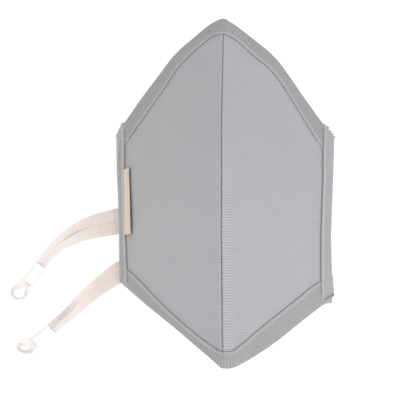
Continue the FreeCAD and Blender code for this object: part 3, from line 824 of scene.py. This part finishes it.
# ---------------------------------------------------------------------- tapes and seams
# Round a binding: how far in from the edge (as a share of its depth, plus mm), and lift.
BINDING_PROFILE = [
    (1.0, 0.10, 0.02), (1.0, 0.05, 0.42), (1.0, -0.25, 0.66), (1.0, -0.8, 0.72),
    (1.0, -1.4, 0.66), (0.62, 0.0, 0.68), (0.48, 0.0, 0.72), (0.34, 0.0, 0.72),
    (0.2, 0.0, 0.66), (0.1, 0.0, 0.5), (0.04, 0.0, 0.2), (0.0, 0.0, -0.35),
    (0.0, -0.08, -1.0), (0.0, 0.0, -1.65), (0.04, 0.0, -2.2),
    (0.1, 0.0, -2.5), (0.25, 0.0, -2.66), (0.5, 0.0, -2.7), (0.75, 0.0, -2.66),
    (1.0, -0.6, -2.6), (1.0, 0.0, -2.4), (1.0, 0.1, -2.06),
]
CASING_PROFILE = [
    (1.0, 0.10, 0.55), (1.0, 0.05, 1.0), (1.0, -0.25, 1.3), (1.0, -0.8, 1.36),
    (1.0, -1.6, 1.26), (0.66, 0.0, 1.3), (0.5, 0.0, 1.36), (0.34, 0.0, 1.36),
    (0.2, 0.0, 1.26), (0.1, 0.0, 1.05), (0.04, 0.0, 0.6), (0.0, 0.0, -0.2),
    (0.0, -0.1, -1.0), (0.0, 0.0, -1.8), (0.04, 0.0, -2.5), (0.1, 0.0, -2.95),
    (0.25, 0.0, -3.2), (0.5, 0.0, -3.3), (0.75, 0.0, -3.26), (1.0, -0.6, -3.2),
    (1.0, 0.0, -3.0), (1.0, 0.1, -2.68),
]


def wrap(name, edge, seam, profile, mat, lip=0.0):
    """A tape folded over an edge: edge and seam are matching lists of (x, y) in mm.

    lip is how far the underside comes out past the top at the list's last end.
    """
    edge, seam = np.array(edge), np.array(seam)
    run = along((edge + seam) / 2)
    rings = []
    for (ex, ey), (sx, sy), left in zip(edge, seam, run[-1] - run):
        depth = math.hypot(sx - ex, sy - ey)
        ring = []
        for share, extra, lift in profile:
            part = share + extra / depth
            x, y = ex + (sx - ex) * part, ey + (sy - ey) * part
            if lift > 0:
                lift = lift + float(standing(x, y)) * min(max(part, 0) * 1.6, 1)
            else:
                y = y - lip * max(1 - left / 3, 0)
            ring.append(surface(x, y, lift))
        rings.append(ring)
    rings = np.array(rings)
    rings[..., 2] = np.maximum(rings[..., 2], 0.05 * MM)
    size = rings.shape[1]
    round_it = along(np.array([rings[len(rings) // 2][j % size] for j in range(size + 1)]))
    uv = [[(r, g / MM) for g in round_it] for r in run]
    return tube(name, rings, uv, mat)


STITCH_PITCH = 2.2
# Rings of one stitch: place along it, thickness, and how far it lies above the line.
STITCH_SHAPE = [
    (-0.5, 0.0, -0.28), (-0.47, 0.55, -0.2), (-0.38, 0.92, 0.0), (-0.15, 1.0, 0.08),
    (0.15, 1.0, 0.08), (0.38, 0.92, 0.0), (0.47, 0.55, -0.2), (0.5, 0.0, -0.28),
]


def stitches(name, line, long=1.7, thick=0.125):
    """A row of lockstitches along a line of (x, y, lift) in mm."""
    x, y, lift = np.array(line, float).T
    points = surface(x, y, lift + standing(x, y)) / MM
    run = along(points)
    build = Builder()
    turn = circle(8)
    for middle in np.arange(STITCH_PITCH * 0.6, run[-1] - STITCH_PITCH * 0.4, STITCH_PITCH):
        rings = []
        at = [np.array([np.interp(middle + share * long, run, points[:, k]) for k in range(3)])
              for share, _, _ in STITCH_SHAPE]
        heading = at[-1] - at[0]
        heading /= np.linalg.norm(heading)
        side = np.cross(heading, (0, 0, 1.0))
        side /= np.linalg.norm(side)
        up = np.cross(side, heading)
        for place, (_, size, rise) in zip(at, STITCH_SHAPE):
            centre = place + up * rise
            size = max(size, 0.02) * thick
            rings.append([
                (centre + (side * math.cos(a) + up * math.sin(a)) * size) * MM for a in turn
            ])
        uv = [[(middle + share * long, k * 0.16) for k in range(9)]
              for share, _, _ in STITCH_SHAPE]
        build.grid(np.array(rings), uv, close_u=True)
    return build.piece(name, MATS["thread"])


RIB_SPACING, FAN_RIBS = 0.6, 12


def edge_pair(edge_table, seam_table, reach):
    """Matching places along an edge and along its tape's sewn side, left to right.

    Seen from above the tape's ribs lie square to the edge, and fan out at its two ends.
    """
    x = np.arange(-reach["left"], reach["right"] + RIB_SPACING / 2, RIB_SPACING)
    y = signed(edge_table, x)
    slope = np.gradient(y, x)
    slope = np.convolve(np.pad(slope, 3, mode="edge"), np.ones(7) / 7, mode="valid")
    depth = signed(seam_table, x) - y
    shift = -slope * depth / (1 + slope**2)
    seam_x = x + shift * (1 - np.exp(-np.abs(x) / (np.abs(shift) + 0.5)))
    fan = np.linspace(1, 0, FAN_RIBS, endpoint=False)
    start = seam_x[0] + (x[0] + 0.8 - seam_x[0]) * fan
    stop = seam_x[-1] + (x[-1] - 0.8 - seam_x[-1]) * fan[::-1]
    seam_x = np.concatenate([start, seam_x, stop])
    edge_x = np.pad(x, FAN_RIBS, mode="edge")
    edge = np.stack([edge_x, signed(edge_table, edge_x)], axis=1)
    return edge, np.stack([seam_x, signed(seam_table, seam_x)], axis=1)


UPPER_REACH, LOWER_REACH = {"left": 51.6, "right": 51.6}, {"left": 49.8, "right": 51.4}
tapes = (
    ("upper", UPPER_EDGE, UPPER_SEAM, UPPER_REACH),
    ("lower", LOWER_EDGE, LOWER_SEAM, LOWER_REACH),
)
for kind, edge_table, seam_table, reach in tapes:
    edge, seam = edge_pair(edge_table, seam_table, reach)
    tape = wrap(kind + "_tape", edge, seam, BINDING_PROFILE, MATS[kind + "_tape"])
    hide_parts(kind + "_binding_left", kind + "_binding_right")
    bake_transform(tape)
    inwards = -1 if kind == "upper" else 1
    line = [(x, y + inwards * 0.25, 0.22) for x, y in seam if -45.5 < x < 44.5]
    row = stitches(kind + "_stitches", line)
    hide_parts(kind + "_binding_thread_left", kind + "_binding_thread_right")
    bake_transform(row)

seam_line = [(-0.1, y, 0.1) for y in np.arange(-67.5, 69.0, 0.8)]
centre_row = stitches("seam_stitches", seam_line, long=1.8, thick=0.13)
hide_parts("centre_seam_thread")
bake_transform(centre_row)


def over_tape(x, y):
    """How much a binding lifts what lies across it, in mm."""
    past = np.maximum(y - signed(UPPER_SEAM, x), signed(LOWER_SEAM, x) - y)
    return 0.75 * np.clip(past + 0.5, 0, 1)


# The slanting ends of each casing: along its outer edge, then along its sewn edge.
CASING_ENDS = {
    "left": ((-34.3, 34.8), (-38.6, 40.6)),
    "right": ((-41.6, 33.9), (-45.4, 39.4)),
}
for side_name, side in SIDES.items():
    (edge_low, edge_high), (seam_low, seam_high) = CASING_ENDS[side_name]
    y = np.arange(edge_low, edge_high + 0.01, 0.6)
    slant = (seam_low - edge_low) * np.exp((edge_low - y) / 5)
    slant += (seam_high - edge_high) * np.exp((y - edge_high) / 5)
    edge_x = side_line(SIDE_EDGE, side_name, y) * side
    seam_x = side_line(SIDE_SEAM, side_name, y + slant) * side
    edge, seam = np.stack([edge_x, y], axis=1), np.stack([seam_x, y + slant], axis=1)
    if side > 0:
        edge, seam = edge[::-1], seam[::-1]
    lip = 4.2 if side > 0 else 0.0
    casing = wrap("casing_" + side_name, edge, seam, CASING_PROFILE, MATS["casing"], lip)
    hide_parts("side_casing_" + side_name)
    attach(casing, side_name + "_half")
    row = [(x - side * (0.2 + 0.9 * over_tape(x, yy)), yy, 0.45 + over_tape(x, yy))
           for x, yy in seam if seam_low + 1.5 < yy < seam_high - 1.5]
    row = stitches("casing_stitches_" + side_name, row, long=2.05)
    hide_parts("casing_thread_" + side_name)
    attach(row, side_name + "_half")
    if side > 0:
        # Painted shadow: a heavy row of dark thread across the lower end, in the fold where the
        # underside shows as a lip.
        share = np.linspace(0.06, 0.98, 12)[:, None]
        lip_shadow_line = edge[-1] + (seam[-1] - edge[-1]) * share + (0, 0.35)
        lip_shadow_line = [(x, y, 1.3) for x, y in lip_shadow_line]
        row = stitches("casing_lip_shadow", lip_shadow_line, long=2.5, thick=0.34)
        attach(row, side_name + "_half")


# ------------------------------------------------------------------------------- label
LABEL_ROOT, LABEL_SHOWN = -47.45, 3.6
# Round the folded tag: share of its width from the root, then lift.
LABEL_PROFILE = [
    (0.0, 0.9), (0.35, 1.15), (0.7, 1.3), (0.93, 1.35), (1.0, 1.2), (1.03, 1.0),
    (1.0, 0.8), (0.93, 0.7), (0.7, 0.66), (0.35, 0.62), (0.0, 0.6),
]


def label():
    """A folded satin tag, bowed a little, with its fold at the free edge."""
    low, high = (np.array(c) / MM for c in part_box("label_tag"))
    ys = np.linspace(low[1], high[1], 60)
    rings = []
    for y in ys:
        part = (y - low[1]) / (high[1] - low[1])
        bow = 0.25 * math.sin(part * math.pi) + 0.12 * math.sin(part * 7)
        sewn = -side_line(SIDE_SEAM, "left", y)
        wide = sewn + LABEL_SHOWN + 0.25 * math.sin(part * 5) - LABEL_ROOT
        rings.append([surface(LABEL_ROOT + share * wide, y, lift + bow * share)
                      for share, lift in LABEL_PROFILE])
    uv = [[(j * 0.9, y) for j in range(len(LABEL_PROFILE) + 1)] for y in ys]
    piece = tube("folded_label", rings, uv, MATS["label"])
    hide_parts("label_tag")
    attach(piece, "label")


label()


# ------------------------------------------------------------------------ loose yarns
def frays(name, side_name, ends):
    """Short loose yarns along the cut ends of a casing.

    Each end is a line from one place to another, which way its yarns point along the
    ridge, how many there are and how long they grow.
    """
    pick = random.Random(11 if side_name == "left" else 23)
    side = SIDES[side_name]
    build = Builder()
    turn = circle(6)
    for (x0, y0), (x1, y1), ahead, count, reach in ends:
        for _ in range(count):
            share = pick.random()
            x, y = side * (x0 + (x1 - x0) * share), y0 + (y1 - y0) * share - ahead * 0.3
            root = surface(x, y, pick.uniform(0.2, 1.2)) / MM
            heading = np.array((pick.uniform(-0.2, 0.9) * side, ahead, pick.uniform(-0.2, 0.4)))
            long, bend = pick.uniform(0.5, 1.0) * reach, pick.uniform(-0.5, 0.5)
            rings = []
            for t in np.linspace(0, 1, 7):
                swing = np.array((bend * t * t, 0, -0.25 * t * t)) * long
                point = root + heading * t * long + swing
                point[2] = max(point[2], 0.2)
                size = 0.13 * (1 - 0.5 * t)
                rings.append([(point + np.array((math.cos(a), 0, math.sin(a))) * size) * MM
                              for a in turn])
            uv = [[(t * long, k * 0.1) for k in range(7)] for t in np.linspace(0, 1, 7)]
            build.grid(np.array(rings), uv, close_u=True)
    piece = build.piece(name, MATS["fray"])
    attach(piece, side_name + "_half")


frays("frayed_yarn_left", "left", [
    ((48.2, 40.2), (52.0, 34.8), 1, 12, 1.5), ((51.6, 35.6), (52.3, 34.0), 0.3, 7, 2.2),
    ((46.0, -38.4), (50.0, -34.6), -1, 7, 1.0),
])
frays("frayed_yarn_right", "right", [
    ((46.8, 39.2), (52.3, 34.0), 1, 34, 1.6), ((45.2, -45.2), (51.2, -41.8), -1, 10, 1.0),
])
